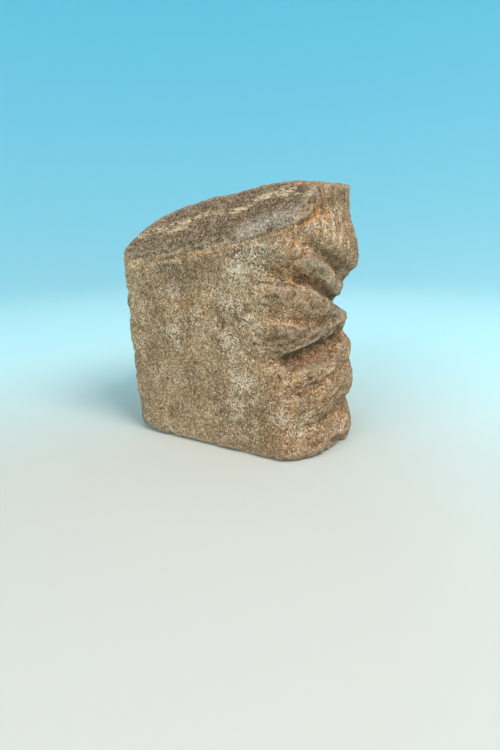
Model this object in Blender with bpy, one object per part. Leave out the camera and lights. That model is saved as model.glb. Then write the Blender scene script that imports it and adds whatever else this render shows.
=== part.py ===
"""A worn stone corbel: a squared tail that was bedded in a wall, and a carved front.

Lengths are in metres, with +Z up. The flat end of the tail lies on the plane of the wall, Y = 0, and the
carved front faces -Y. The origin is the middle of that flat end. The near side is at -X.

The stone is described as a mason would see it. Its body is the space inside a set of dressed, broken and
worn faces, which meet in rounded arrises. On the front, a stack of rolls projects from the body, with a
furrow cut below each. The lines of the carving run out over the two corners of the front, the upper ones
climbing and the lower ones falling, and die out on the sides.
"""

import math
from typing import Callable, NamedTuple

import bmesh
import bpy
import numpy as np
from mathutils import Vector, noise

NODE_NAME = "corbel"

# The body
WIDTH = 0.110
DEPTH = 0.163
HEIGHT = 0.185
ORIGIN_HEIGHT = 0.066

# The front in plan: it swells on the near half and is worn flatter on the far half
NEAR_SAG = 0.021
NEAR_SWELL = 3.0
FAR_SAG = 0.025
FAR_SWELL = 1.25

# The broken slope along the near top: the height of its foot at the tail, and its rise towards the front
SLOPE_FOOT = 0.1345
SLOPE_RISE = 0.027
SLOPE_CURVE = 1.6
SLOPE_PITCH = math.radians(50)
SLOPE_STOP = 0.141
SLOPE_STEP = 0.005
STEP_LENGTH = 0.010

# The bed on top: it falls both ways from a high line, and steeply at the tail
HIGH_LINE = 0.126
FALL_TO_TAIL = math.radians(10.5)
FALL_TO_FRONT = math.radians(9)
TAIL_TOP = 0.1535
TAIL_FALL = math.radians(21)
TAIL_END = 0.1435
TAIL_END_FALL = math.radians(40)
BED_LIP = 0.176
BED_LIP_PITCH = math.radians(22)
FAR_SHOULDER = 0.158
FAR_PITCH = math.radians(40)

# The near side leans out towards the foot
BATTER = 0.0025

# The upright arrises of the tail are worn away towards the foot
NEAR_CUT = 0.0125
FAR_CUT = 0.009
CUT_TOP = 0.125

# How far back from an arris its rounding starts
SIDE_WEAR = 0.005
FRONT_WEAR = 0.006
WALL_WEAR = 0.006
FOOT_WEAR = 0.005
SLOPE_WEAR = 0.002
BED_WEAR = 0.005
CUT_WEAR = 0.010

# The carving: its deepest furrow, and lengths round the body from the middle of the front
FURROW = 0.018
REACH = 0.088
CORNER = 0.060
FADE = 0.030
FAR_REACH = 0.024
FAR_FALL = 0.010
TURN = 0.010
CARVING_WEAR = 0.0022

# The lines at the brow and the foot of the front stay level on the far side: shares of the height
LEVEL_BROW = 0.865
LEVEL_FOOT = 0.270

# Weathering
SWELL = 0.0012
SWELL_LENGTH = 0.040
PITTING = 0.0005
PITTING_LENGTH = 0.012
FLAT_MARGIN = 0.010

# How finely the surface is found
HALVINGS = 48
PROBE = 0.0005
BEARINGS = 721
BEARING_REACH = 0.75 * math.pi
WEAR_SAMPLES = 7
LEAST_GAP = 1e-4
SAME_PLACE = 1e-6

# Upright faces carry the whole carving, and faces that lie flatter carry less
UPRIGHT_GAIN = 1.4

# Lines of the mesh across, along and up the stone, closer at the arrises and where the carving is
EDGE_ZONE = 0.006
EDGE_COUNT = 2
ACROSS_COUNT = 14
TAIL_COUNT = 8
FRONT_ZONE = 0.062
FRONT_COUNT = 11
LOW_COUNT = 14
MIDDLE_COUNT = 24
HIGH_COUNT = 9

# Where the close lines of the middle start and end, as shares of the height
MIDDLE_START = 0.411
MIDDLE_END = 0.735

STONE_COLOUR = (0.26, 0.20, 0.125, 1.0)
STONE_ROUGHNESS = 0.92

FOOT = -ORIGIN_HEIGHT
TOP = HEIGHT - ORIGIN_HEIGHT
HALF = WIDTH / 2
HEART = np.array((0.0, -DEPTH / 2, (TOP + FOOT) / 2))
UP = np.array((0.0, 0.0, 1.0))
BACK = np.array((0.0, 1.0, 0.0))
FAR = np.array((1.0, 0.0, 0.0))


class Face(NamedTuple):
    """One face of the body: how far points lie outside it, and where the rounding of its arrises starts."""

    outside: Callable
    wear: float


class Line(NamedTuple):
    """A crest or a furrow of the carving, where it crosses the middle of the front and the near corner.

    Heights are above the foot, as shares of the stone's height. Out is how far the line stands out from the
    body, as a share of the deepest furrow. Reach is how far round the body from the middle of the front the
    line has died away, as a share of the farthest reach.
    """

    height: float
    out: float
    corner_height: float
    corner_out: float
    reach: float


# Crests and furrows in turn, from the top down
CARVING = (
    Line(0.865, -0.28, 0.908, 0.00, 0.80),
    Line(0.714, 0.11, 0.854, 0.11, 0.80),
    Line(0.638, -0.56, 0.811, -0.22, 0.75),
    Line(0.600, -0.56, 0.784, 0.06, 0.89),
    Line(0.557, -1.00, 0.692, -0.44, 0.95),
    Line(0.500, -0.22, 0.622, 0.06, 1.00),
    Line(0.484, -0.28, 0.551, -0.22, 0.97),
    Line(0.476, -0.22, 0.486, 0.00, 0.97),
    Line(0.459, -0.56, 0.378, -0.44, 0.91),
    Line(0.395, -0.06, 0.324, 0.06, 0.91),
    Line(0.341, -0.17, 0.286, -0.06, 0.91),
    Line(0.265, 0.06, 0.238, 0.06, 0.91),
    Line(0.146, -0.33, 0.119, -0.22, 0.80),
    Line(0.070, 0.00, 0.065, 0.00, 0.80),
)
TOP_LINE = Line(1.0, -0.33, 1.0, 0.00, 0.80)
FOOT_LINE = Line(0.0, -0.06, 0.0, 0.00, 0.80)


def ease(value):
    """Goes smoothly from 0 to 1 as value does, and stays there outside."""
    value = np.clip(value, 0.0, 1.0)
    return value * value * (3 - 2 * value)


def plane(normal, point, wear):
    """A flat face through a point."""
    normal = normal / np.linalg.norm(normal)
    return Face(lambda p: (p - point) @ normal, wear)


def falling(towards, pitch, point, wear):
    """A top face that falls at a pitch towards a level direction."""
    return plane(UP + towards * math.tan(pitch), point, wear)


def at(x, y, height):
    """A point given by its height above the foot."""
    return np.array((x, y, FOOT + height))


def front_line(x):
    """The front's distance from the wall, across the stone."""
    share = np.clip(np.abs(x) / HALF, 0.0, 1.0)
    near = DEPTH - NEAR_SAG * share**NEAR_SWELL
    far = DEPTH - FAR_SAG * share**FAR_SWELL
    return np.where(x < 0, near, far)


def slope_outside(p):
    """Distance outside the broken slope, which stops short of the front at a small step."""
    along = np.clip(-p[:, 1] / DEPTH, 0.0, 1.0)
    foot = FOOT + SLOPE_FOOT + SLOPE_RISE * along**SLOPE_CURVE
    rise = foot + (p[:, 0] + HALF) * math.tan(SLOPE_PITCH)
    step = SLOPE_STEP * ease((-p[:, 1] - SLOPE_STOP) / STEP_LENGTH)
    return (p[:, 2] - rise) * math.cos(SLOPE_PITCH) - step


def faces_of_body():
    """Every face of the body."""
    high = at(0, -HIGH_LINE, HEIGHT)
    near_corner = at(-HALF, 0, CUT_TOP)
    far_corner = at(HALF, 0, CUT_TOP)
    return (
        plane(-FAR + UP * BATTER / CUT_TOP, near_corner, SIDE_WEAR),
        plane(FAR, at(HALF, 0, 0), SIDE_WEAR),
        plane(BACK, at(0, 0, 0), WALL_WEAR),
        plane(-UP, at(0, 0, 0), FOOT_WEAR),
        Face(lambda p: -p[:, 1] - front_line(p[:, 0]), FRONT_WEAR),
        Face(slope_outside, SLOPE_WEAR),
        falling(BACK, FALL_TO_TAIL, high, BED_WEAR),
        falling(-BACK, FALL_TO_FRONT, high, BED_WEAR),
        falling(BACK, TAIL_FALL, at(0, 0, TAIL_TOP), BED_WEAR),
        falling(BACK, TAIL_END_FALL, at(0, 0, TAIL_END), BED_WEAR),
        falling(-FAR, BED_LIP_PITCH, at(-HALF, -HIGH_LINE, BED_LIP), BED_WEAR),
        falling(FAR, FAR_PITCH, at(HALF, 0, FAR_SHOULDER), BED_WEAR),
        plane(BACK - FAR - UP * NEAR_CUT / CUT_TOP, near_corner, CUT_WEAR),
        plane(BACK + FAR - UP * FAR_CUT / CUT_TOP, far_corner, CUT_WEAR),
    )


FACES = faces_of_body()


def outside_body(p):
    """Below zero inside the body and above it outside, with the arrises rounded."""
    total = np.zeros(len(p))
    for face in FACES:
        total += np.maximum(0.0, face.outside(p) / face.wear + 1) ** 2
    return total - 1


def body_surface(directions):
    """Where rays from the heart of the stone leave the body."""
    inner = np.zeros(len(directions))
    outer = np.full(len(directions), 2 * (DEPTH + HEIGHT))
    for _ in range(HALVINGS):
        middle = (inner + outer) / 2
        inside = outside_body(HEART + directions * middle[:, None]) < 0
        inner = np.where(inside, middle, inner)
        outer = np.where(inside, outer, middle)
    return HEART + directions * inner[:, None]


def body_normals(points):
    """Outward directions of the body's surface."""
    normals = np.empty_like(points)
    for axis in range(3):
        offset = np.zeros(3)
        offset[axis] = PROBE
        normals[:, axis] = outside_body(points + offset) - outside_body(points - offset)
    return normals / np.linalg.norm(normals, axis=1)[:, None]


def girth_of(points):
    """Length round the body from the middle of the front, negative on the near side."""
    bearings = np.linspace(-BEARING_REACH, BEARING_REACH, BEARINGS)
    level = np.column_stack((np.sin(bearings), -np.cos(bearings), np.zeros(len(bearings))))
    outline = body_surface(level)[:, :2]
    steps = np.linalg.norm(np.diff(outline, axis=0), axis=1)
    girths = np.concatenate(([0.0], np.cumsum(steps)))
    girths -= girths[len(girths) // 2]
    bearing = np.arctan2(points[:, 0], HEART[1] - points[:, 1])
    return np.interp(bearing, bearings, girths)


def sharp_relief(girth, height):
    """How far the fresh carving stands out from the body at a point of its front and sides."""
    lines = (TOP_LINE,) + CARVING + (FOOT_LINE,)
    girth_size = np.abs(girth)
    turning = np.hypot(girth, TURN)
    near = np.clip((turning - girth) / 2 / CORNER, 0, 1)
    far = np.clip((turning + girth) / 2 / CORNER, 0, 1)
    heights, outs = [], []
    for line in lines:
        tilt = ease(line.height / LEVEL_FOOT) * ease((LEVEL_BROW - line.height) / LEVEL_FOOT)
        share = line.height + (line.corner_height - line.height) * near
        heights.append(share * HEIGHT - FAR_FALL * tilt * far)
        left = 1 - ease((girth_size - line.reach * REACH - FAR_REACH * (girth > 0) + FADE) / FADE)
        outs.append((line.out + (line.corner_out - line.out) * ease(near)) * FURROW * left)
    depth = np.where(height >= heights[0], outs[0], outs[-1])
    for place in range(len(lines) - 1):
        upper, lower = heights[place], heights[place + 1]
        share_down = np.clip((upper - height) / np.maximum(upper - lower, LEAST_GAP), 0, 1)
        if lines[place].out < lines[place + 1].out:
            share_down = np.sin(share_down * math.pi / 2)
        else:
            share_down = 1 - np.cos(share_down * math.pi / 2)
        between = outs[place] + (outs[place + 1] - outs[place]) * share_down
        depth = np.where((height < upper) & (height >= lower), between, depth)
    return depth


def relief(girth, height):
    """The carving with its crests and furrows worn round."""
    offsets = np.linspace(-CARVING_WEAR, CARVING_WEAR, WEAR_SAMPLES)
    return np.mean([sharp_relief(girth, height + offset) for offset in offsets], axis=0)


def weathering(points):
    """Broad swells and small pits of the worn surface."""
    broad = [noise.noise(Vector(p) / SWELL_LENGTH) for p in points]
    small = [noise.noise(Vector(p) / PITTING_LENGTH) for p in points]
    return SWELL * np.array(broad) + PITTING * np.array(small)


def stone_surface(directions):
    """Where rays from the heart of the stone leave it, with its carving and wear."""
    points = body_surface(directions)
    normals = body_normals(points)
    level = normals * (1, 1, 0)
    upright = np.linalg.norm(level, axis=1)
    flat_end = ease(-points[:, 1] / FLAT_MARGIN)
    flat_foot = ease((points[:, 2] - FOOT) / FLAT_MARGIN)
    carved = relief(girth_of(points), points[:, 2] - FOOT) * ease(upright * UPRIGHT_GAIN)
    points = points + level * carved[:, None]
    return points + normals * (weathering(points) * flat_end * flat_foot)[:, None]


def mesh_lines(start, end, zones):
    """Places of the mesh's lines from start to end, through zones that each end at a place with a count."""
    stops = ((start + EDGE_ZONE, EDGE_COUNT),) + zones + ((end, EDGE_COUNT),)
    places, last = [], start
    for stop, count in stops:
        places += list(np.linspace(last, stop, count, endpoint=False))
        last = stop
    return places


def make_corbel():
    """Cuts a block along its mesh lines, then moves each corner onto the stone's surface."""
    across = mesh_lines(-HALF, HALF, ((HALF - EDGE_ZONE, ACROSS_COUNT),))
    along_zones = ((-DEPTH + FRONT_ZONE, FRONT_COUNT), (-EDGE_ZONE, TAIL_COUNT))
    along = mesh_lines(-DEPTH, 0.0, along_zones)
    up_zones = (
        (MIDDLE_START * HEIGHT, LOW_COUNT),
        (MIDDLE_END * HEIGHT, MIDDLE_COUNT),
        (HEIGHT - EDGE_ZONE, HIGH_COUNT),
    )
    up = mesh_lines(0.0, HEIGHT, up_zones)
    block = bmesh.new()
    bmesh.ops.create_cube(block, size=1.0)
    for corner in block.verts:
        corner.co = Vector(HEART) + Vector((corner.co.x * WIDTH, corner.co.y * DEPTH, corner.co.z * HEIGHT))
    cuts = [(FAR, at(place, 0, 0)) for place in across]
    cuts += [(BACK, at(0, place, 0)) for place in along]
    cuts += [(UP, at(0, 0, place)) for place in up]
    for normal, point in cuts:
        everything = block.verts[:] + block.edges[:] + block.faces[:]
        bmesh.ops.bisect_plane(block, geom=everything, dist=SAME_PLACE, plane_co=point, plane_no=normal)
    directions = np.array([corner.co for corner in block.verts]) - HEART
    directions /= np.linalg.norm(directions, axis=1)[:, None]
    for corner, place in zip(block.verts, stone_surface(directions)):
        corner.co = place
    bmesh.ops.triangulate(block, faces=block.faces[:], quad_method="BEAUTY")
    mesh = bpy.data.meshes.new(NODE_NAME)
    block.to_mesh(mesh)
    block.free()
    return mesh


def make_stone():
    """The material of the stone."""
    stone = bpy.data.materials.new("sandstone")
    stone.use_nodes = True
    shader = stone.node_tree.nodes["Principled BSDF"]
    shader.inputs["Base Color"].default_value = STONE_COLOUR
    shader.inputs["Roughness"].default_value = STONE_ROUGHNESS
    shader.inputs["Metallic"].default_value = 0.0
    return stone


def main():
    """Clears the scene and builds the corbel."""
    for old in list(bpy.data.objects):
        bpy.data.objects.remove(old, do_unlink=True)
    mesh = make_corbel()
    mesh.materials.append(make_stone())
    mesh.shade_smooth()
    corbel = bpy.data.objects.new(NODE_NAME, mesh)
    bpy.context.scene.collection.objects.link(corbel)


main()
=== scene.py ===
"""The looks of a worn stone corbel: one block of coarse brown gritstone, with its carving, breaks, stains and
painted shade.

Lengths are in metres, with +Z up. The stone's tail ends on the plane Y = 0 and its carved front faces -Y. A
place on the stone is given by a bearing round its upright middle line and a height above its foot. Bearing 0
is the middle of the front, and bearings are negative on the near side, which faces -X.
"""

import logging
import math
from collections.abc import Sequence
from dataclasses import dataclass
from enum import Enum

import bpy
import numpy as np
from mathutils import Matrix, Vector, noise
from mathutils.bvhtree import BVHTree
from numpy.typing import NDArray


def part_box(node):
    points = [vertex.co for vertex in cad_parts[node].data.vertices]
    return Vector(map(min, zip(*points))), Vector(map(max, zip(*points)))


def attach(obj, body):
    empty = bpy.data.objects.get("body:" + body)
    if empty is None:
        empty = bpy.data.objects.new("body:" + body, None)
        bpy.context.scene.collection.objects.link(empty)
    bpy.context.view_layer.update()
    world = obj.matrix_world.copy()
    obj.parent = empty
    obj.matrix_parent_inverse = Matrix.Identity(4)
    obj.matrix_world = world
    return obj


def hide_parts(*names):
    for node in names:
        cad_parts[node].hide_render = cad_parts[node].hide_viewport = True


Array = NDArray[np.float64]
Place = tuple[float, float]
Pair = tuple[float, float]
Triple = tuple[float, float, float]
Shade = tuple[float, float, float, float]
Tone = tuple[int, int, int]
Socket = bpy.types.NodeSocket
Tree = bpy.types.NodeTree
Node = bpy.types.Node

NODE = "corbel"
BODY = "root"
MM = 0.001
FRACTAL_SMOOTHNESS = 0.9
FRACTAL_STEP = 2.1
CELL_SHUFFLE = 17.0
LEAST_SQUARE = MM * MM * MM

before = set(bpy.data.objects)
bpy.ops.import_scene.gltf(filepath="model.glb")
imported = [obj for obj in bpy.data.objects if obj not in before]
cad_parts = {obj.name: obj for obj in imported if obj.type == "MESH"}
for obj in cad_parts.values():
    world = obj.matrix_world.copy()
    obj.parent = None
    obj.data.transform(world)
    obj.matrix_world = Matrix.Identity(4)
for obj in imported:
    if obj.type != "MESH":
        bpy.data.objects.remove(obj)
log = logging.getLogger("corbel")


def ease(value: Array) -> Array:
    """Goes smoothly from 0 to 1 as value does, and stays there outside."""
    value = np.clip(value, 0.0, 1.0)
    return value * value * (3.0 - 2.0 * value)


def linear(tone: Tone) -> Shade:
    """Turns a screen colour of 0 to 255 into the linear colour that a shader reads.

    Args:
        tone: Red, green and blue, each from 0 to 255.

    Returns:
        Linear red, green, blue and an alpha of 1.
    """
    shares = [part / 255.0 for part in tone]
    curve = [part / 12.92 if part <= 0.04045 else ((part + 0.055) / 1.055) ** 2.4 for part in shares]
    return (curve[0], curve[1], curve[2], 1.0)


def apply_modifier(obj: bpy.types.Object, kind: str, **settings: object) -> None:
    """Adds a modifier to an object and applies it.

    Args:
        obj: The object to change.
        kind: Blender's name for the modifier's type.
        settings: Values for the modifier's own properties.
    """
    modifier = obj.modifiers.new(kind.title(), kind)
    for name, value in settings.items():
        setattr(modifier, name, value)
    select_only(obj)
    bpy.ops.object.modifier_apply(modifier=modifier.name)


def select_only(obj: bpy.types.Object) -> None:
    """Deselects everything, then selects one object and makes it active.

    Args:
        obj: The object to select.
    """
    bpy.ops.object.select_all(action="DESELECT")
    obj.select_set(True)
    bpy.context.view_layer.objects.active = obj


class Shift(Enum):
    """How far a noise is moved, so that it differs from the others."""

    NONE = 0.0
    DRAG = 2.0
    TOOTH = 3.0
    UNEVEN = 4.0
    UPRIGHT = 5.0
    LAYERS = 7.0
    STAINS = 11.0


class Mask(Enum):
    """Attributes of the mesh that tell the stone's finish where each stain or break lies, where the hollows
    and crests are, and where shade is painted.
    """

    BROKEN = "broken"
    GREY = "grey"
    PALE = "pale"
    GRITTY = "gritty"
    RUST_AND_SHADE = "rust_and_shade"
    # Dark spots and bands, and painted shade in the furrows and under the slope's lip
    DARK = "dark"
    # The hollows, where the finish paints shade
    HOLLOW = "hollow"
    CREST = "crest"
    SCRATCH = "scratch"
    STREAK = "streak"


@dataclass(frozen=True)
class Stroke:
    """A carved line on the surface: a furrow where its depth is above zero, and a ridge below zero.

    The path is a row of places. The depth is in millimetres, and so are above and below, the line's widths on
    its upper and lower side. The line dies out towards both ends, over the share fade of its length.
    """

    path: tuple[Place, ...]
    depth: float
    above: float
    below: float
    fade: float = 0.25


@dataclass(frozen=True)
class Stain:
    """A soft-edged patch round a place, or a band along a path, with its radius in millimetres."""

    path: tuple[Place, ...]
    radius: float
    strength: float = 1.0


def spots(*rows: tuple[float, float, float, float]) -> tuple[Stain, ...]:
    """Makes round stains from rows of bearing, height, radius and strength."""
    return tuple(Stain(((bearing, height),), radius, strength) for bearing, height, radius, strength in rows)


class Skin:
    """A mesh's corners as arrays, with what carving needs to know of each corner's surroundings."""

    def __init__(self, mesh: bpy.types.Mesh, foot: float) -> None:
        """Reads the mesh.

        Args:
            mesh: A closed mesh in the row's frame.
            foot: The height of its underside.
        """
        self.mesh = mesh
        self.foot = foot
        self.count = len(mesh.vertices)
        self.points = np.empty(self.count * 3)
        mesh.vertices.foreach_get("co", self.points)
        self.points = self.points.reshape(-1, 3)
        ends = np.empty(len(mesh.edges) * 2, dtype=np.int64)
        mesh.edges.foreach_get("vertices", ends)
        self.ends = ends.reshape(-1, 2)
        self.valence = np.bincount(self.ends.ravel(), minlength=self.count).astype(float)
        self.normals = self.read_normals()

    def read_normals(self) -> Array:
        """Reads the mesh as it is now.

        Returns:
            The outward direction at each corner.
        """
        normals = np.empty(self.count * 3)
        self.mesh.vertices.foreach_get("normal", normals)
        return normals.reshape(-1, 3)

    def write(self) -> None:
        """Moves the mesh's corners to the points, and reads their directions again."""
        self.mesh.vertices.foreach_set("co", self.points.ravel())
        self.mesh.update()
        self.normals = self.read_normals()

    def spread(self, values: Array, rounds: int) -> Array:
        """Averages values with their neighbours' again and again.

        Args:
            values: One number or one row for each corner.
            rounds: How often each corner takes its neighbours' average.

        Returns:
            The smoothed values, in the same shape.
        """
        table = values.reshape(self.count, -1).copy()
        first, second = self.ends[:, 0], self.ends[:, 1]
        for _ in range(rounds):
            for column in range(table.shape[1]):
                part = table[:, column]
                total = np.bincount(first, part[second], self.count)
                total += np.bincount(second, part[first], self.count)
                table[:, column] = (part + total / self.valence) / 2.0
        return table.reshape(values.shape)

    def hollowness(self, rounds: int) -> Array:
        """Returns how deep each corner lies under its smoothed surroundings, above zero in a hollow."""
        moved = self.spread(self.points, rounds) - self.points
        return np.sum(moved * self.normals, axis=1)

    def push(self, amounts: Array) -> None:
        """Moves each corner along its own direction by its amount, outwards above zero."""
        self.points = self.points + self.normals * amounts[:, None]
        self.write()

    def store(self, mask: Mask, values: Array) -> None:
        """Keeps values from 0 to 1 as an attribute that the finish reads."""
        attribute = self.mesh.attributes.new(mask.value, "FLOAT", "POINT")
        attribute.data.foreach_set("value", np.clip(values, 0.0, 1.0).astype(np.float32))


class Compass:
    """Finds places on the stone's surface by their bearing and height."""

    def __init__(self, skin: Skin) -> None:
        """Readies the search.

        Args:
            skin: The stone's skin, searched as it is now.
        """
        low, high = skin.points.min(axis=0), skin.points.max(axis=0)
        self.middle = Vector((0.0, (low[1] + high[1]) / 2.0, 0.0))
        self.foot = skin.foot
        self.far = float(np.linalg.norm(high - low))
        polygons = [tuple(polygon.vertices) for polygon in skin.mesh.polygons]
        self.tree = BVHTree.FromPolygons([tuple(point) for point in skin.points], polygons)

    def find(self, place: Place) -> Array:
        """Finds a place on the surface, looked at from outside.

        Args:
            place: Bearing in degrees and height above the foot in millimetres.

        Returns:
            The point of the surface.
        """
        bearing, height = math.radians(place[0]), self.foot + place[1] * MM
        out = Vector((math.sin(bearing), -math.cos(bearing), 0.0))
        start = self.middle + out * self.far + Vector((0.0, 0.0, height))
        point, _, _, _ = self.tree.ray_cast(start, -out)
        if point is None:
            raise ValueError(f"no stone at bearing {place[0]} and height {place[1]} mm")
        return np.array(point)

    def follow(self, path: Sequence[Place], steps: int = 6) -> Array:
        """Draws a smooth line through places.

        Args:
            path: Two places or more.
            steps: How many stretches lie between one place and the next.

        Returns:
            The line's points on the surface, one in each row.
        """
        knots = np.array([path[0], *path, path[-1]], dtype=float)
        line = []
        for place in range(1, len(knots) - 2):
            before, here, there, after = knots[place - 1:place + 3]
            for step in range(steps):
                t = step / steps
                bend = (there - before) * t + (2 * before - 5 * here + 4 * there - after) * t * t
                line.append(here + (bend + (3 * here - before - 3 * there + after) * t**3) / 2)
        line.append(knots[-1])
        return np.array([self.find((float(bearing), float(height))) for bearing, height in line])


def line_distance(points: Array, line: Array) -> tuple[Array, Array, Array]:
    """Measures points against a line of straight stretches.

    Args:
        points: The points to measure.
        line: The line's points, in turn.

    Returns:
        For each point its distance from the line, how far above the line it lies, and its share of the way
        along.
    """
    lengths = np.linalg.norm(np.diff(line, axis=0), axis=1)
    starts = np.concatenate(([0.0], np.cumsum(lengths)))
    best = np.full(len(points), np.inf)
    above = np.zeros(len(points))
    along = np.zeros(len(points))
    for stretch, length in enumerate(lengths):
        start, direction = line[stretch], line[stretch + 1] - line[stretch]
        share = np.clip((points - start) @ direction / max(length * length, LEAST_SQUARE), 0.0, 1.0)
        gap = points - start - share[:, None] * direction
        distance = np.linalg.norm(gap, axis=1)
        closer = distance < best
        best = np.where(closer, distance, best)
        above = np.where(closer, gap[:, 2], above)
        along = np.where(closer, starts[stretch] + share * length, along)
    return best, above, along / starts[-1]


def fractal(points: Array, length: float, shift: Shift = Shift.NONE, octaves: int = 3) -> Array:
    """Reads a rough noise at points.

    Args:
        points: Where to read the noise.
        length: The size of its broadest swell.
        shift: Moves the noise, so that two of one length differ.
        octaves: How many finer layers it has.

    Returns:
        A value from about -1 to 1 for each point.
    """
    offset = Vector((1.0, 2.0, 3.0)) * shift.value
    places = (Vector(point) / length + offset for point in points)
    return np.array([noise.fractal(place, FRACTAL_SMOOTHNESS, FRACTAL_STEP, octaves) for place in places])


def cells(points: Array, length: float) -> tuple[Array, Array]:
    """Divides space into grains and measures points in them.

    Args:
        points: Where to look.
        length: The size of a grain.

    Returns:
        The distance from the nearest grain's middle in grains, and a number from 0 to 1 for that grain.
    """
    distances, numbers = [], []
    for point in points:
        near, middles = noise.voronoi(Vector(point) / length)
        distances.append(near[0])
        numbers.append(noise.cell(middles[0] * CELL_SHUFFLE) * 0.5 + 0.5)
    return np.array(distances), np.array(numbers)


@dataclass(frozen=True)
class BrokenSlope:
    """The slope along the near top, where the block split away in thin layers."""

    out: Triple = (-0.77, 0.10, 0.63)
    facing: float = 0.90
    facing_blend: float = 0.06
    facing_rounds: int = 6
    edge_rounds: int = 1
    near_edge: float = -20 * MM
    near_blend: float = 6 * MM
    ragged: float = 0.035
    ragged_length: float = 6 * MM
    layer_run: Triple = (0.0, -1.0, 0.16)
    layer_height: float = 5.2 * MM
    layer_depth: float = 0.5 * MM
    layer_level: float = 0.6
    layer_rise: float = 0.8
    layer_drop: float = 0.86
    wobble: float = 1.6 * MM
    wobble_length: float = 9 * MM
    wobble_squeeze: Triple = (1.0, 0.35, 1.0)

    def share(self, skin: Skin) -> Array:
        """Finds the slope on the stone.

        Args:
            skin: The stone's skin.

        Returns:
            How far each corner belongs to the slope, from 0 to 1.
        """
        facing = skin.spread(skin.normals, self.facing_rounds) @ np.array(Vector(self.out).normalized())
        ragged = fractal(skin.points, self.ragged_length) * self.ragged
        near = ease((self.near_edge - skin.points[:, 0]) / self.near_blend)
        share = ease((facing + ragged - self.facing) / self.facing_blend) * near
        return skin.spread(share, self.edge_rounds)

    def split(self, skin: Skin, broken: Array) -> None:
        """Breaks the slope into layers that run along it, each with a gentle rise and a steep drop.

        Args:
            skin: The stone's skin.
            broken: How far each corner belongs to the slope.
        """
        across = np.cross(np.array(Vector(self.out).normalized()), np.array(self.layer_run))
        across /= np.linalg.norm(across)
        wobble = fractal(skin.points * self.wobble_squeeze, self.wobble_length, Shift.LAYERS, octaves=4)
        share = (skin.points @ across + self.wobble * wobble) / self.layer_height
        tread = share - np.floor(share)
        step = ease(tread / self.layer_rise) - ease((tread - self.layer_drop) / (1.0 - self.layer_drop))
        skin.push((step - self.layer_level) * self.layer_depth * broken)


@dataclass(frozen=True)
class Wear:
    """The worn surface: broad unevenness, the tooth of the grain, and pits where grains fell out."""

    swell: float = 0.6 * MM
    swell_length: float = 13.0 * MM
    tooth: float = 0.5 * MM
    tooth_length: float = 4.0 * MM
    tooth_loss: float = 0.35
    pit: float = 0.7 * MM
    pit_length: float = 5.5 * MM
    pit_width: float = 0.45
    pit_rarity: float = 0.62
    pit_least: float = 0.4
    pit_loss: float = 0.6

    def weather(self, skin: Skin, broken: Array) -> None:
        """Wears the stone, less where it is freshly broken.

        Args:
            skin: The stone's skin.
            broken: How far each corner belongs to the broken slope.
        """
        swell = self.swell * fractal(skin.points, self.swell_length, octaves=4)
        tooth = self.tooth * fractal(skin.points, self.tooth_length, Shift.TOOTH)
        near, number = cells(skin.points, self.pit_length)
        depth = self.pit_least + (1.0 - self.pit_least) * number
        pit = ease(1.0 - near / self.pit_width) * (number > self.pit_rarity) * depth
        tooth *= 1.0 - self.tooth_loss * broken
        skin.push(swell + tooth - self.pit * pit * (1.0 - self.pit_loss * broken))


@dataclass(frozen=True)
class Chips:
    """Flat chips off the edges and crests. A chip that would bite into a rising wall of stone is left out."""

    seed: int = 7
    count: int = 220
    size: tuple[float, float] = (2.0 * MM, 6.0 * MM)
    depth: float = 0.16
    tilt: float = 0.25
    highest: float = 0.35
    slack: float = 1.0 * MM
    edge_rounds: int = 40
    soft_rounds: int = 10

    def strike(self, skin: Skin) -> None:
        """Knocks the chips off.

        Args:
            skin: The stone's skin.
        """
        picks = np.random.default_rng(self.seed)
        sharp = np.clip(-skin.hollowness(self.edge_rounds), 0.0, None) ** 2
        out_softly = skin.spread(skin.normals, self.soft_rounds)
        for site in picks.choice(skin.count, self.count, replace=False, p=sharp / sharp.sum()):
            out = out_softly[site] + picks.normal(0.0, self.tilt, 3)
            out /= np.linalg.norm(out)
            size = picks.uniform(*self.size)
            gap = skin.points - skin.points[site]
            above = gap @ out + size * self.depth
            cut = (above > 0.0) & (np.linalg.norm(gap, axis=1) < size)
            if above[cut].max() > self.highest * size + self.slack:
                continue
            skin.points[cut] -= above[cut, None] * out
        skin.write()


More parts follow.
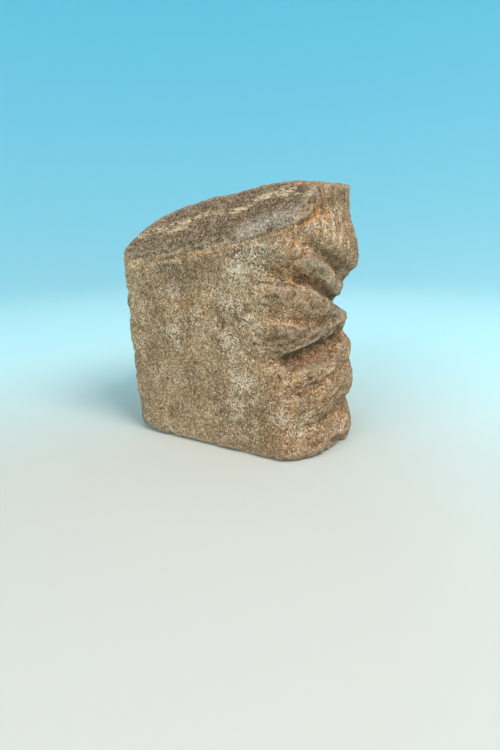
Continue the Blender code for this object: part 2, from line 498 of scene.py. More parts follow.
@dataclass
class CarvedStone:
    """The corbel's one block, made from the solid by a finer mesh with its carving, breaks and grain."""

    slope: BrokenSlope = BrokenSlope()
    wear: Wear = Wear()
    chips: Chips = Chips()
    grain: float = 1.18 * MM
    merge_gap: float = 0.01 * MM
    smooth_share: float = 0.5
    smooth_rounds: int = 3
    settle: float = 0.35 * MM
    unevenness: float = 0.35
    uneven_length: float = 7 * MM
    drag: float = 0.6 * MM
    drag_width: float = 2.6 * MM
    drag_ratio: float = 0.2
    drag_reach: float = 5.0 * MM
    drag_apart: float = 7.0 * MM
    stain_edge: float = 1.25
    stain_ragged: float = 0.5
    stain_ragged_length: float = 8 * MM
    front_edge: float = -115 * MM
    front_blend: float = 25 * MM
    brow_height: float = 128 * MM
    brow_blend: float = 12 * MM
    upright_squeeze: Triple = (1.0, 1.0, 0.13)
    upright_length: float = 3.0 * MM
    upright_gain: float = 1.2
    upright_lift: float = 0.1
    streak_level: float = 0.5
    hollow_rounds: int = 60
    hollow_depth: float = 1.6 * MM
    crest_rounds: int = 25
    crest_height: float = 0.8 * MM

    strokes: tuple[Stroke, ...] = (
        # The furrow under the brow, and the roll that follows it
        Stroke(((-36, 151), (-31, 147), (-25, 140), (-15, 133), (-3, 126), (30, 120)), 1.5, 2.2, 2.4),
        Stroke(((-50, 149), (-43, 145), (-35, 139), (-22, 130), (-7, 119), (25, 112)), -1.4, 4.0, 4.0),
        Stroke(((-56, 143), (-46, 139), (-36, 133), (-22, 124), (-8, 114), (20, 107)), -2.0, 5.5, 4.5),
        # The broad hollow under that roll
        Stroke(((-66, 134), (-53, 131), (-46, 128), (-40, 124), (-28, 119), (-18, 114), (-2, 106),
                (30, 100)), 1.2, 2.2, 4.5),
        Stroke(((-56, 126), (-49, 125), (-42, 121), (-34, 117)), 0.7, 2.6, 4.5),
        # The wedge: its crest, its shallow furrow and its lower lip
        Stroke(((-56, 120), (-46, 119), (-37, 117), (-19, 108), (-5, 98), (25, 92)), -0.8, 2.4, 2.6),
        Stroke(((-66, 101), (-57, 101), (-47, 101), (-34, 97), (-17, 92)), 0.9, 3.4, 3.8),
        Stroke(((-60, 77), (-47, 80), (-38, 85), (-29, 90), (-17, 94)), -0.5, 2.4, 2.4),
        # The deepest furrow: its crisp upper edge, and the broad undercut below
        Stroke(((-52, 68), (-42, 74), (-35, 78), (-26, 82), (-16, 87), (-6, 89), (28, 84)),
               1.8, 1.0, 3.6, 0.15),
        Stroke(((-45, 71), (-39, 73), (-30, 75), (-19, 79), (-8, 83), (4, 85)), 2.8, 3.0, 5.0),
        # The crease and the curled ridge of the lower roll
        Stroke(((2, 69), (-7, 70), (-14, 71)), 1.1, 1.2, 1.8),
        Stroke(((-8, 74), (-14, 72), (-17, 67), (-18, 64), (-24, 60), (-28, 58), (-39, 54), (-48, 52)),
               -1.0, 2.0, 2.2),
        Stroke(((-15, 62), (-22, 55), (-32, 50), (-44, 48)), 0.7, 2.0, 3.0),
        Stroke(((-8, 44), (-14, 41), (-18, 38), (-22, 33), (-28, 29)), -0.9, 2.0, 1.8),
        # The furrow at the foot
        Stroke(((-31, 22), (-24, 24), (-17, 27), (-8, 31), (4, 35), (30, 33)), 2.0, 1.3, 3.2),
        Stroke(((3, 21), (-3, 18), (-9, 15), (-14, 9)), -1.0, 1.6, 1.6),
        # The lip of the broken slope, and the seam that it overhangs
        Stroke(((-144, 133), (-138, 133.5), (-127, 135), (-113, 137.5), (-97, 141), (-80, 143.5),
                (-62, 148), (-53, 151), (-45, 155), (-39, 158), (-34, 161), (-29, 166)), 0.8, 0.8, 2.2, 0.06),
        Stroke(((-40, 157), (-34, 161), (-29, 166), (-25, 170)), 1.2, 1.4, 2.0),
        # The broken foot of the front
        Stroke(((-22, 1), (-18, 4), (-14, 5), (-8, 4), (0, 3)), 4.0, 3.6, 6.0, 0.12),
    )

    pale: tuple[Stain, ...] = (
        # Pale patches. The one at bearing -35 and height 28 mm is partly painted light, brightening the lower
        # front
        *spots((-121, 83, 7, 0.9), (-119, 74, 6, 0.8), (-75, 106, 9, 0.9), (-76, 82, 8, 0.9),
               (-74, 70, 7, 0.8), (-66, 52, 12, 0.9), (-72, 35, 11, 0.9), (-69, 130, 12, 1.0),
               (-58, 136, 14, 0.7), (-121, 113, 7, 0.6), (-47, 147, 4, 0.9), (-53, 143, 5, 0.8),
               (-48, 34, 10, 0.6), (-35, 28, 12, 0.8), (-12, 14, 9, 0.5), (-60, 92, 9, 0.5),
               (-104, 95, 8, 0.5)),
        # A painted highlight along the foot's ridge
        Stain(((3, 21), (-3, 18), (-9, 15), (-14, 9)), 1.8, 0.9),
        Stain(((-27, 163), (-26, 152)), 1.5),
        Stain(((-20, 163), (-22, 148)), 1.5),
        Stain(((-13, 162), (-17, 145)), 1.8),
        Stain(((-6, 157), (-10, 140)), 1.5),
    )
    rust_and_shade: tuple[Stain, ...] = (
        *spots((-6, 12, 12, 0.4), (-6, 93, 9, 0.35), (-98, 134, 12, 0.5), (-110, 106, 14, 0.4),
               (-5, 60, 12, 0.35)),
        # Painted shade on the right side of the foot's ridge, in the rust tone
        Stain(((-4, 24), (-4, 15), (-1, 4)), 5, 0.8),
        Stain(((-34, 160), (-29, 165), (-26, 169), (-22, 170)), 3.2, 0.75),
        Stain(((-24, 176), (-14, 176)), 7, 0.5),
        Stain(((-132, 133), (-113, 136), (-97, 139), (-80, 142), (-62, 146), (-53, 149), (-45, 153),
               (-37, 158), (-31, 162)), 2.0, 0.7),
    )
    dark: tuple[Stain, ...] = (
        # Dark spots
        *spots((-33, 61, 3.5, 0.7), (-37, 36, 4, 0.6), (-115, 149, 3, 0.6), (-56, 162, 1.0, 1.0)),
        # The dark seam under the slope's lip, with the lip's painted shadow
        Stain(((-113, 138), (-97, 141), (-80, 143.5), (-62, 148), (-53, 151), (-45, 155), (-37, 160)),
              1.0, 0.7),
        # The pocket where the slope meets the brow: a brown stain with painted shade
        Stain(((-39, 157.5), (-34, 161), (-29, 166), (-26, 168)), 1.7, 0.85),
        # Painted shade on the lower flank of the roll below the brow
        Stain(((-50, 140), (-36, 136), (-26, 130)), 7, 0.3),
        # A dark pocket on the seam, and a dark band along the top
        Stain(((-84, 151), (-79, 154)), 3, 0.6),
        Stain(((-31, 179), (-26, 178), (-15, 175)), 5, 0.5),
        # Painted shade in the furrow under the brow
        Stain(((-24, 141), (-19, 138), (-15, 134), (-10, 131)), 4.5, 0.4),
        Stain(((-38, 155), (-34, 151), (-30, 146), (-24, 141)), 4, 0.25),
        # Painted shade in the undercut of the deepest furrow
        Stain(((-42, 73), (-35, 75), (-28, 77), (-19, 80), (-12, 82), (-5, 84)), 6.5),
        Stain(((-38, 69), (-30, 69), (-22, 72), (-13, 76)), 6, 0.5),
        # A dark band along the top
        Stain(((-28, 176), (-18, 176), (-8, 174)), 9, 0.5),
        # Painted shade above the deepest furrow, partly a dark stain there
        Stain(((-48, 85), (-38, 88), (-26, 92)), 9, 0.65),
        # Painted shade under the wedge's crest
        Stain(((-48, 116), (-37, 113), (-19, 105), (-6, 97)), 6, 0.4),
        # Darker towards the top of the near side
        Stain(((-120, 122), (-104, 126), (-88, 128)), 11, 0.42),
    )
    grey: tuple[Stain, ...] = (
        Stain(((-64, 154), (-53, 158), (-43, 162), (-37, 165), (-30, 167)), 8),
    )
    scratched: tuple[Stain, ...] = (
        Stain(((-148, 148), (-145, 152.5), (-141, 154), (-137, 156), (-131, 158), (-121, 160), (-111, 163),
               (-100, 164.5), (-92, 165.5)), 2.7),
        Stain(((-138, 151), (-133, 152), (-129, 154), (-122, 155.5)), 1.7),
        Stain(((-79, 165), (-67, 167), (-61, 169), (-52, 173), (-43, 175), (-38, 177), (-33, 178)), 2.5),
        Stain(((-42, 174), (-37, 175), (-33, 175)), 1.6),
    )

    def build(self) -> bpy.types.Object:
        """Makes the finished stone.

        Returns:
            The stone's object, at the origin, with its masks stored.
        """
        low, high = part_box(NODE)
        stone = self.fine_copy()
        skin = Skin(stone.data, low.z)
        compass = Compass(skin)
        broken = self.slope.share(skin)
        skin.push(np.full(skin.count, -self.settle))
        ripples = self.carve(skin, compass)
        self.slope.split(skin, broken)
        self.wear.weather(skin, broken)
        self.chips.strike(skin)
        # A corner that lies past the solid's box goes back onto it
        skin.points = np.clip(skin.points, np.array(low), np.array(high))
        skin.write()
        self.store_masks(skin, compass, broken, ripples)
        stone.data.shade_smooth()
        log.info("stone: %d corners, %d faces", skin.count, len(stone.data.polygons))
        return stone

    def fine_copy(self) -> bpy.types.Object:
        """Copies the solid and gives the copy a fine, even mesh.

        Returns:
            The copy's object.
        """
        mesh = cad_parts[NODE].data.copy()
        mesh.name = "carved_stone"
        stone = bpy.data.objects.new("carved_stone", mesh)
        bpy.context.scene.collection.objects.link(stone)
        select_only(stone)
        bpy.ops.object.mode_set(mode="EDIT")
        bpy.ops.mesh.select_all(action="SELECT")
        bpy.ops.mesh.remove_doubles(threshold=self.merge_gap)
        bpy.ops.object.mode_set(mode="OBJECT")
        apply_modifier(stone, "REMESH", mode="VOXEL", voxel_size=self.grain, adaptivity=0.0)
        apply_modifier(stone, "SMOOTH", factor=self.smooth_share, iterations=self.smooth_rounds)
        return stone

    def carve(self, skin: Skin, compass: Compass) -> Array:
        """Cuts the carving's furrows, raises its ridges, and leaves the drag of the tool beside them.

        The drag runs along each line. It is whole up to its reach from the line, and gone at twice that.

        Args:
            skin: The stone's skin.
            compass: Finds the carving's places on it.

        Returns:
            The height of the drag's ripples at each corner, from about -1 to 1.
        """
        total = np.zeros(skin.count)
        nearest = np.full(skin.count, np.inf)
        drag = np.zeros((skin.count, 3))
        uneven = fractal(skin.points, self.uneven_length, Shift.UNEVEN)
        for number, stroke in enumerate(self.strokes):
            line = compass.follow(stroke.path)
            distance, above, along = line_distance(skin.points, line)
            reach = along * np.linalg.norm(np.diff(line, axis=0), axis=1).sum()
            apart = np.full(skin.count, number * self.drag_apart)
            spot = np.column_stack((reach * self.drag_ratio, np.sign(above) * distance, apart))
            closer = distance < nearest
            drag[closer] = spot[closer]
            nearest = np.where(closer, distance, nearest)
            width = np.where(above > 0, stroke.above, stroke.below) * MM
            profile = np.exp(-((distance / width) ** 2))
            fade = ease(along / stroke.fade) * ease((1.0 - along) / stroke.fade)
            total -= stroke.depth * MM * profile * fade * (1.0 + self.unevenness * uneven)
        ripples = fractal(drag, self.drag_width, Shift.DRAG)
        ripples *= ease(2.0 - nearest / self.drag_reach)
        skin.push(total + self.drag * ripples)
        return ripples

    def store_masks(self, skin: Skin, compass: Compass, broken: Array, ripples: Array) -> None:
        """Works out every mask and stores it on the mesh.

        Args:
            skin: The stone's skin.
            compass: Finds the stains' places on it.
            broken: How far each corner belongs to the broken slope.
            ripples: The height of the tool's drag at each corner.
        """
        masks = {mask: np.zeros(skin.count) for mask in Mask}
        ragged = fractal(skin.points, self.stain_ragged_length, Shift.STAINS, octaves=4)
        stained = {Mask.PALE: self.pale, Mask.RUST_AND_SHADE: self.rust_and_shade, Mask.DARK: self.dark, Mask.GREY: self.grey,
                   Mask.SCRATCH: self.scratched}
        for mask, stains in stained.items():
            for stain in stains:
                if len(stain.path) > 1:
                    distance = line_distance(skin.points, compass.follow(stain.path))[0]
                else:
                    distance = np.linalg.norm(skin.points - compass.find(stain.path[0]), axis=1)
                reach = distance / (stain.radius * MM)
                share = ease(self.stain_edge - reach + self.stain_ragged * ragged) * stain.strength
                masks[mask] = np.maximum(masks[mask], share)
        masks[Mask.BROKEN] = broken
        masks[Mask.GRITTY] = ease((self.front_edge - skin.points[:, 1]) / self.front_blend) * (1.0 - broken)
        upright = fractal(skin.points * self.upright_squeeze, self.upright_length, Shift.UPRIGHT)
        brow = ease((skin.points[:, 2] - skin.foot - self.brow_height) / self.brow_blend)
        brow *= masks[Mask.GRITTY]
        streak = (self.upright_gain * upright + self.upright_lift) * brow
        masks[Mask.STREAK] = self.streak_level + ripples * (1.0 - brow) + streak
        masks[Mask.GREY] *= broken
        # The hollows, which the finish darkens and warms as painted shade
        masks[Mask.HOLLOW] = ease(skin.hollowness(self.hollow_rounds) / self.hollow_depth)
        masks[Mask.CREST] = ease(-skin.hollowness(self.crest_rounds) / self.crest_height)
        for mask, values in masks.items():
            skin.store(mask, values)


class Graph:
    """Builds a node tree by short calls."""

    # The Mix node's sockets for its factor and two colours, and for the colour that it gives
    mix_inputs = (0, 6, 7)
    mix_output = 2

    def __init__(self, tree: Tree) -> None:
        """Empties a tree and works on it."""
        self.tree = tree
        tree.nodes.clear()

    def add(self, kind: str, inputs: dict[str, object] | None = None, **settings: object) -> Node:
        """Adds a node.

        Args:
            kind: The node's type, without ShaderNode.
            inputs: A value or another node's output for each named input.
            settings: Values for the node's own properties.

        Returns:
            The new node.
        """
        node = self.tree.nodes.new("ShaderNode" + kind)
        for name, value in settings.items():
            setattr(node, name, value)
        for name, value in (inputs or {}).items():
            self.feed(node.inputs[name], value)
        return node

    def feed(self, socket: Socket, value: object) -> None:
        """Links an output to a socket, or sets the socket's own value.

        Args:
            socket: The input to feed.
            value: Another node's output, or a value.
        """
        if isinstance(value, Socket):
            self.tree.links.new(value, socket)
        else:
            socket.default_value = value

    def math(self, operation: str, *values: object) -> Socket:
        """Adds a Math node.

        Args:
            operation: Blender's name for what it does.
            values: Up to three numbers or outputs.

        Returns:
            Its output.
        """
        node = self.add("Math", operation=operation)
        for socket, value in zip(node.inputs, values):
            self.feed(socket, value)
        return node.outputs[0]

    def mix(self, share: object, first: object, second: object, blend: str = "MIX") -> Socket:
        """Mixes two colours.

        Args:
            share: How much of the second colour there is, from 0 to 1.
            first: The first colour or output.
            second: The second colour or output.
            blend: How the second goes over the first.

        Returns:
            The mixed colour.
        """
        node = self.add("Mix", data_type="RGBA", blend_type=blend)
        for number, value in zip(self.mix_inputs, (share, first, second)):
            self.feed(node.inputs[number], value)
        return node.outputs[self.mix_output]

    def ramp(self, value: object, start: float, end: float) -> Socket:
        """Returns a smooth rise from 0 to 1 as a value goes from start to end."""
        sizes = {"Value": value, "From Min": start, "From Max": end}
        return self.add("MapRange", sizes, interpolation_type="SMOOTHSTEP").outputs[0]

    def mask(self, mask: Mask) -> Socket:
        """Returns a mask of the mesh."""
        return self.add("Attribute", attribute_name=mask.value).outputs["Fac"]

    def finish(self, inputs: dict[str, object]) -> None:
        """Ends the tree in a Principled shader with these inputs."""
        shader = self.add("BsdfPrincipled", inputs)
        self.feed(self.add("OutputMaterial").inputs["Surface"], shader.outputs[0])

    def group(self, tree: Tree, inputs: dict[str, object]) -> Node:
        """Places a node group with its own values.

        Args:
            tree: The group.
            inputs: A value or another node's output for each named input.

        Returns:
            The group's node.
        """
        node = self.add("Group", node_tree=tree)
        for name, value in inputs.items():
            self.feed(node.inputs[name], value)
        return node


def new_group(name: str, inputs: dict[str, str], outputs: dict[str, str]) -> tuple[Graph, dict, Node]:
    """Starts a shader node group.

    Args:
        name: The group's name.
        inputs: Each input's name and socket type, without NodeSocket.
        outputs: The same for the outputs.

    Returns:
        A graph on the group, its inputs by name, and its output node.
    """
    tree = bpy.data.node_groups.new(name, "ShaderNodeTree")
    graph = Graph(tree)
    for direction, sockets in (("INPUT", inputs), ("OUTPUT", outputs)):
        for label, kind in sockets.items():
            tree.interface.new_socket(label, in_out=direction, socket_type="NodeSocket" + kind)
    entry = tree.nodes.new("NodeGroupInput")
    exit_node = tree.nodes.new("NodeGroupOutput")
    return graph, {socket.name: socket for socket in entry.outputs}, exit_node


@dataclass(frozen=True)
class Patches:
    """Soft patches: their size, and the levels of their noise where they start and where they are whole."""

    size: float
    low: float
    high: float


@dataclass
class Coats:
    """The stone's colour, built up coat by coat in its node tree.

    It goes with the place on the stone, the nodes of the larger and smaller grains, and the patches' group.
    """

    graph: Graph
    where: Socket
    coarse: Node
    fine: Node
    clouds: Tree
    colour: Socket | None = None

    def patches(self, kind: Patches, where: Socket | None = None) -> Socket:
        """Returns a mask of soft patches, laid out by another vector than the place where one is given."""
        sizes = {"Vector": where or self.where, "Size": kind.size, "Low": kind.low, "High": kind.high}
        return self.graph.group(self.clouds, sizes).outputs[0]

    def lay(self, mask: Socket, share: float | Socket, tone: Tone) -> None:
        """Lays a tone over the colour, where a mask is and as strongly as a share says."""
        self.colour = self.graph.mix(self.graph.math("MULTIPLY", mask, share), self.colour, linear(tone))

    def shade(self, factor: Socket) -> None:
        """Multiplies the colour by a factor."""
        self.colour = self.graph.mix(1.0, self.colour, factor, "MULTIPLY")


@dataclass(frozen=True)
class Gritstone:
    """The finish of weathered brown gritstone, with pale, rusty and dark stains, a grey fresh break and
    painted shade.

    A share says how strongly a tone covers what is under it, and a chance how many of the grains have it. A
    pair of numbers is a factor and what is then added.
    """

    brown: Tone = (132, 108, 75)
    tan: Tone = (163, 136, 100)
    tan_patches: Patches = Patches(24 * MM, 0.40, 0.60)
    ochre: Tone = (153, 112, 70)
    ochre_patches: Patches = Patches(15 * MM, 0.52, 0.68)
    ochre_share: float = 0.6
    gritty_share: float = 0.75
    rust_and_shade: Tone = (164, 110, 62)
    rust_and_shade_share: float = 0.7
    split: Tone = (90, 72, 48)
    grey: Tone = (150, 141, 124)
    break_share: float = 0.85
    grain_size: float = 0.95 * MM
    grain_shades: tuple[Shade, Shade] = ((0.65, 0.55, 0.47, 1.0), (1.30, 1.32, 1.36, 1.0))
    speck_size: float = 0.62 * MM
    speck_shades: tuple[Shade, Shade] = ((0.58, 0.52, 0.47, 1.0), (1.42, 1.44, 1.47, 1.0))
    grain_warp: float = 0.7
    warp_detail: float = 1.0
    warp_middle: Triple = (0.5, 0.5, 0.5)
    cloud_detail: float = 5.0
    cloud_roughness: float = 0.62
    cream: Tone = (220, 201, 179)
    bright_from: float = 0.65
    bright_share: float = 0.25
    blotches: Patches = Patches(3.2 * MM, 0.35, 0.65)
    blotch_range: Pair = (0.3, 0.85)
    streak_range: Pair = (0.7, 0.65)
    pale_patches: Patches = Patches(12 * MM, 0.5, 0.7)
    patches_share: float = 0.5
    pale_chance: Pair = (0.54, 0.03)
    pale_share: Pair = (-0.4, 0.70)
    lilac: Tone = (160, 138, 124)
    lilac_chance: float = 0.2
    lilac_share: float = 0.6
    # Dark brown, for dark grains, dark marks and the painted shade in the hollows
    soot_and_shade: Tone = (52, 40, 28)
    speck_level: Pair = (-0.05, 0.91)
    speck_share: float = 0.75
    # The painted shade in the hollows, how strongly dark brown is laid there and on the dark marks, and the
    # shade's warmer colour
    painted_shade_share: float = 0.45
    dark_and_shade_share: float = 0.8
    plain_shade: Shade = (1.0, 1.0, 1.0, 1.0)
    painted_shadow_warmth: Shade = (1.06, 0.96, 0.91, 1.0)
    crest_share: float = 0.2
    scratch: Tone = (226, 196, 158)
    scratch_share: float = 0.9
    scratch_turn: Triple = (math.radians(11.0), 0.0, 0.0)
    scratch_squeeze: Triple = (1.0, 0.28, 1.0)
    scratch_streaks: Patches = Patches(1.3 * MM, 0.43, 0.56)
    scratch_grit: float = 0.5
    roughness: float = 0.93
    shine: float = 0.25
    bump: float = 0.8
    bump_height: float = 0.35 * MM

    def grains(self) -> Tree:
        """Makes the group that divides the stone into grains.

        Returns:
            A group that gives each grain two numbers, and how far from its middle a point is.
        """
        outputs = {"Shade": "Float", "Second": "Float", "Rim": "Float"}
        graph, given, out = new_group("grains", {"Vector": "Vector", "Grain": "Float"}, outputs)
        scale = graph.math("DIVIDE", 1.0, given["Grain"])
        warp = graph.add("TexNoise", {"Vector": given["Vector"], "Scale": scale, "Detail": self.warp_detail})
        size = graph.math("MULTIPLY", given["Grain"], self.grain_warp)
        push = graph.add("VectorMath", {0: warp.outputs["Color"], 1: self.warp_middle}, operation="SUBTRACT")
        moved = graph.add("VectorMath", {0: push.outputs[0], "Scale": size}, operation="SCALE")
        where = graph.add("VectorMath", {0: given["Vector"], 1: moved.outputs[0]}, operation="ADD")
        cell = graph.add("TexVoronoi", {"Vector": where.outputs[0], "Scale": scale})
        parts = graph.add("SeparateColor", {"Color": cell.outputs["Color"]})
        graph.feed(out.inputs["Shade"], parts.outputs[0])
        graph.feed(out.inputs["Second"], parts.outputs[1])
        graph.feed(out.inputs["Rim"], cell.outputs["Distance"])
        return graph.tree

    def clouds(self) -> Tree:
        """Makes the group for soft patches.

        Returns:
            A group that gives a mask of patches of a size, more or fewer of them.
        """
        sockets = {"Vector": "Vector", "Size": "Float", "Low": "Float", "High": "Float"}
        graph, given, out = new_group("clouds", sockets, {"Mask": "Float"})
        scale = graph.math("DIVIDE", 1.0, given["Size"])
        sizes = {"Vector": given["Vector"], "Scale": scale, "Detail": self.cloud_detail}
        cloud = graph.add("TexNoise", sizes | {"Roughness": self.cloud_roughness})
        graph.feed(out.inputs["Mask"], graph.ramp(cloud.outputs[0], given["Low"], given["High"]))
        return graph.tree

    def ground(self, coats: Coats) -> None:
        """Lays the stone's own brown, its rusty stains with some painted shade, and the colours of its break.

        Args:
            coats: The stone's colour.
        """
        graph = coats.graph
        coats.colour = graph.mix(coats.patches(self.tan_patches), linear(self.brown), linear(self.tan))
        coats.lay(coats.patches(self.ochre_patches), self.ochre_share, self.ochre)
        coats.lay(graph.mask(Mask.GRITTY), self.gritty_share, self.ochre)
        coats.lay(graph.mask(Mask.RUST_AND_SHADE), self.rust_and_shade_share, self.rust_and_shade)
        coats.lay(graph.mask(Mask.BROKEN), self.break_share, self.split)
        coats.lay(graph.mask(Mask.GREY), self.break_share, self.grey)

    def shades(self, coats: Coats) -> None:
        """Gives each grain its own shade, and the surface its blotches and streaks.

        Args:
            coats: The stone's colour.
        """
        graph = coats.graph
        grain = coats.coarse.outputs["Shade"]
        coats.shade(graph.mix(graph.ramp(grain, 0.0, 1.0), *self.grain_shades))
        coats.shade(graph.mix(coats.fine.outputs["Shade"], *self.speck_shades))
        coats.lay(graph.ramp(grain, self.bright_from, 1.0), self.bright_share, self.cream)
        coats.shade(graph.math("MULTIPLY_ADD", coats.patches(self.blotches), *self.blotch_range))
        coats.shade(graph.math("MULTIPLY_ADD", graph.mask(Mask.STREAK), *self.streak_range))

    def speckle(self, coats: Coats) -> None:
        """Picks out single grains in cream, lilac and dark brown.

        Args:
            coats: The stone's colour.
        """
        graph = coats.graph
        cloudy = graph.math("MULTIPLY", coats.patches(self.pale_patches), self.patches_share)
        pale = graph.math("ADD", graph.mask(Mask.PALE), cloudy)
        chance = graph.math("MULTIPLY_ADD", pale, *self.pale_chance)
        picked = graph.math("GREATER_THAN", chance, coats.coarse.outputs["Second"])
        share = graph.math("MULTIPLY_ADD", graph.mask(Mask.BROKEN), *self.pale_share)
        coats.lay(picked, share, self.cream)
        speck = coats.fine.outputs["Second"]
        dusty = graph.math("GREATER_THAN", self.lilac_chance, speck)
        coats.lay(dusty, self.lilac_share, self.lilac)
        level = graph.math("MULTIPLY_ADD", graph.mask(Mask.GRITTY), *self.speck_level)
        coats.lay(graph.math("GREATER_THAN", speck, level), self.speck_share, self.soot_and_shade)

    def shadows(self, coats: Coats) -> None:
        """Darkens the dark marks, paints shade into the hollows and warms it, and lightens the crests.

        Args:
            coats: The stone's colour.
        """
        graph = coats.graph
        # Painted shade in the hollows, laid with the dark marks in dark brown
        hollow = graph.math("MULTIPLY", graph.mask(Mask.HOLLOW), self.painted_shade_share)
        coats.lay(graph.math("MAXIMUM", hollow, graph.mask(Mask.DARK)), self.dark_and_shade_share, self.soot_and_shade)
        # Painted shadow colour: the hollows' shade is warmed
        coats.shade(graph.mix(graph.mask(Mask.HOLLOW), self.plain_shade, self.painted_shadow_warmth))
        coats.lay(graph.mask(Mask.CREST), self.crest_share, self.cream)

    def scratches(self, coats: Coats) -> None:
        """Draws the pale scratches, as streaks along the broken slope.

        Args:
            coats: The stone's colour.
        """
        graph = coats.graph
        turned = {"Vector": coats.where, "Rotation": self.scratch_turn, "Scale": self.scratch_squeeze}
        along = graph.add("Mapping", turned).outputs[0]
        grit = graph.ramp(coats.fine.outputs["Shade"], 0.0, self.scratch_grit)
        streaks = graph.math("MULTIPLY", coats.patches(self.scratch_streaks, along), grit)
        scratched = graph.math("MULTIPLY", graph.mask(Mask.SCRATCH), streaks)
        coats.lay(scratched, self.scratch_share, self.scratch)

    def material(self) -> bpy.types.Material:
        """Makes the stone's material.

        Returns:
            The material, which reads the stone's masks and Object coordinates.
        """
        stone = bpy.data.materials.new("weathered gritstone")
        stone.use_nodes = True
        graph = Graph(stone.node_tree)
        grains = self.grains()
        where = graph.add("TexCoord").outputs["Object"]
        coarse = graph.group(grains, {"Vector": where, "Grain": self.grain_size})
        fine = graph.group(grains, {"Vector": where, "Grain": self.speck_size})
        coats = Coats(graph, where, coarse, fine, self.clouds())
        self.ground(coats)
        self.shades(coats)
        self.speckle(coats)
        self.shadows(coats)
        self.scratches(coats)
        falling = graph.math("MULTIPLY", coarse.outputs["Rim"], -1.0)
        height = graph.math("ADD", falling, fine.outputs["Shade"])
        sizes = {"Height": height, "Strength": self.bump, "Distance": self.bump_height}
        relief = graph.add("Bump", sizes).outputs[0]
        graph.finish({"Base Color": coats.colour, "Normal": relief, "Roughness": self.roughness,
                      "Specular IOR Level": self.shine})
        return stone


@dataclass(frozen=True)
class Paper:
    """The finish of the studio's paper: pale round the stone, hazy further out, and blue far from it.

    The distance is measured after the place is stretched and moved, so heights count twice.
    """

    floor: Tone = (197, 196, 190)
    haze: Tone = (200, 242, 248)
    wall: Tone = (107, 202, 228)
    stretch: Triple = (1.0, 1.0, 2.0)
    move: Triple = (0.22, 0.14, 0.0)
    middle: float = 0.6
    pale_share: float = 0.22
    haze_share: float = 0.54
    blue_share: float = 0.88
    roughness: float = 0.9

    def material(self) -> bpy.types.Material:
        """Makes the paper's material.

        Returns:
            The material, coloured by its distance from the stone.
        """
        paper = bpy.data.materials.new("studio paper")
        paper.use_nodes = True
        graph = Graph(paper.node_tree)
        where = graph.add("TexCoord").outputs["Object"]
        level = graph.add("VectorMath", {0: where, 1: self.stretch, 2: self.move}, operation="MULTIPLY_ADD")
        away = graph.add("VectorMath", {0: level.outputs[0]}, operation="LENGTH").outputs["Value"]
        share = graph.math("DIVIDE", away, graph.math("ADD", away, self.middle))
        hazy = graph.ramp(share, self.pale_share, self.haze_share)
        blue = graph.ramp(share, self.haze_share, self.blue_share)
        colour = graph.mix(hazy, linear(self.floor), linear(self.haze))
        colour = graph.mix(blue, colour, linear(self.wall))
        graph.finish({"Base Color": colour, "Roughness": self.roughness})
        return paper


@dataclass(frozen=True)
class Lamp:
    """A square light, with the length of its side, its power in watts and its linear colour."""

    name: str
    place: Triple
    side: float
    power: float
    colour: Triple


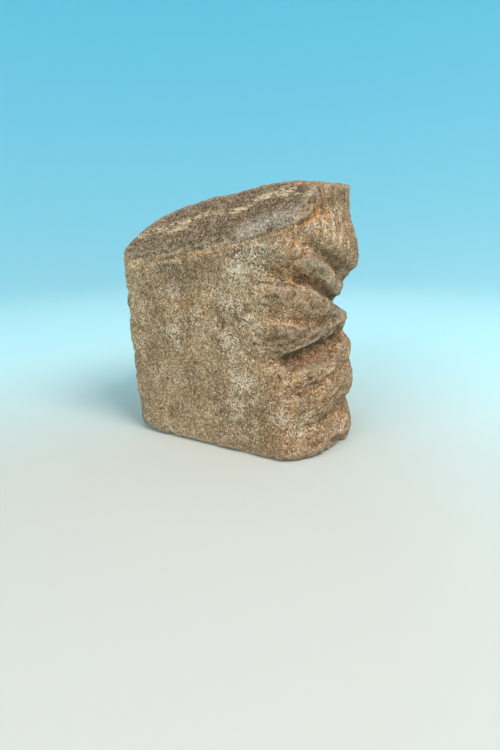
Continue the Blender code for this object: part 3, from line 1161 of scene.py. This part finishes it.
@dataclass
class Studio:
    """The floor, the lights and the camera."""

    floor_height: float
    floor_radius: float = 1.7
    bend_radius: float = 0.9
    wall_height: float = 1.6
    floor_corners: int = 96
    bend_steps: int = 12
    camera_place: Triple = (-0.36314, -0.30435, 0.10559)
    camera_heading: float = math.radians(58.08)
    camera_pitch: float = math.radians(17.226)
    camera_roll: float = math.radians(-1.287)
    lens: float = 27.0
    film_width: float = 36.0
    nearest: float = 0.01
    lamps: tuple[Lamp, ...] = (
        Lamp("key", (-0.30, -1.0, 1.15), 0.7, 20.5, (1.0, 0.87, 0.79)),
        Lamp("fill", (-1.15, 0.0, 0.5), 0.9, 8.0, (1.0, 0.91, 0.83)),
    )
    lamp_aim: Triple = (0.0, -0.08, 0.0)
    air: Tone = (240, 231, 220)
    air_strength: float = 0.9

    def build(self) -> None:
        """Sets up the whole studio."""
        self.floor()
        self.camera()
        self.lights()
        bpy.context.scene.view_settings.view_transform = "Standard"

    def floor(self) -> bpy.types.Object:
        """Makes a round floor whose rim bends up into a wall.

        Returns:
            The floor's object.
        """
        bpy.ops.object.select_all(action="DESELECT")
        inner = self.floor_radius - self.bend_radius
        bpy.ops.mesh.primitive_circle_add(vertices=self.floor_corners, radius=inner, fill_type="TRIFAN",
                                          location=(0, 0, 0))
        floor = bpy.context.object
        floor.name = "floor"
        bpy.ops.object.mode_set(mode="EDIT")
        bpy.ops.mesh.select_mode(type="EDGE")
        bpy.ops.mesh.select_all(action="DESELECT")
        bpy.ops.mesh.select_non_manifold()
        turn = math.pi / 2.0 / self.bend_steps
        reach, height = inner, 0.0
        for step in range(1, self.bend_steps + 1):
            next_reach = inner + self.bend_radius * math.sin(step * turn)
            next_height = self.bend_radius * (1.0 - math.cos(step * turn))
            self.extrude_rim(next_reach / reach, next_height - height)
            reach, height = next_reach, next_height
        self.extrude_rim(1.0, self.wall_height)
        bpy.ops.object.mode_set(mode="OBJECT")
        floor.data.transform(Matrix.Translation((0.0, 0.0, self.floor_height)))
        floor.data.shade_smooth()
        floor.data.materials.append(Paper().material())
        return floor

    def extrude_rim(self, growth: float, rise: float) -> None:
        """Extrudes the selected rim outwards and up.

        Args:
            growth: The new rim's radius as a share of the old one's.
            rise: How much higher it lies.
        """
        bpy.ops.mesh.extrude_region_move(TRANSFORM_OT_translate={"value": (0.0, 0.0, rise)})
        bpy.ops.transform.resize(value=(growth, growth, 1.0), center_override=(0.0, 0.0, 0.0))

    def camera(self) -> None:
        """Places the camera at the photograph's angle."""
        data = bpy.data.cameras.new("camera")
        data.lens = self.lens
        data.sensor_width = self.film_width
        data.clip_start = self.nearest
        camera = bpy.data.objects.new("camera", data)
        turn = Matrix.Rotation(-self.camera_heading, 4, "Z")
        tilt = Matrix.Rotation(math.pi / 2 - self.camera_pitch, 4, "X")
        roll = Matrix.Rotation(self.camera_roll, 4, "Z")
        camera.matrix_world = Matrix.Translation(self.camera_place) @ turn @ tilt @ roll
        bpy.context.scene.collection.objects.link(camera)
        bpy.context.scene.camera = camera

    def lights(self) -> None:
        """Hangs the lamps, under a pale sky."""
        for lamp in self.lamps:
            self.hang(lamp)
        world = bpy.data.worlds.new("studio air")
        world.use_nodes = True
        background = world.node_tree.nodes["Background"]
        background.inputs["Color"].default_value = linear(self.air)
        background.inputs["Strength"].default_value = self.air_strength
        bpy.context.scene.world = world

    def hang(self, lamp: Lamp) -> None:
        """Hangs a lamp, turned to the stone.

        Args:
            lamp: The lamp to hang.
        """
        data = bpy.data.lights.new(lamp.name, "AREA")
        data.size = lamp.side
        data.energy = lamp.power
        data.color = lamp.colour
        light = bpy.data.objects.new(lamp.name, data)
        light.location = lamp.place
        aim = Vector(self.lamp_aim) - Vector(lamp.place)
        light.rotation_euler = aim.to_track_quat("-Z", "Y").to_euler()
        bpy.context.scene.collection.objects.link(light)


def main() -> None:
    """Builds the stone and the studio, and says what was made."""
    logging.basicConfig(level=logging.INFO, format="%(message)s")
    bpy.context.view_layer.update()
    stone = CarvedStone().build()
    stone.data.materials.clear()
    stone.data.materials.append(Gritstone().material())
    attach(stone, BODY)
    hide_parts(NODE)
    Studio(floor_height=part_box(NODE)[0].z).build()
    log.info("studio: floor, camera and lights")


if __name__ == "__main__":
    main()
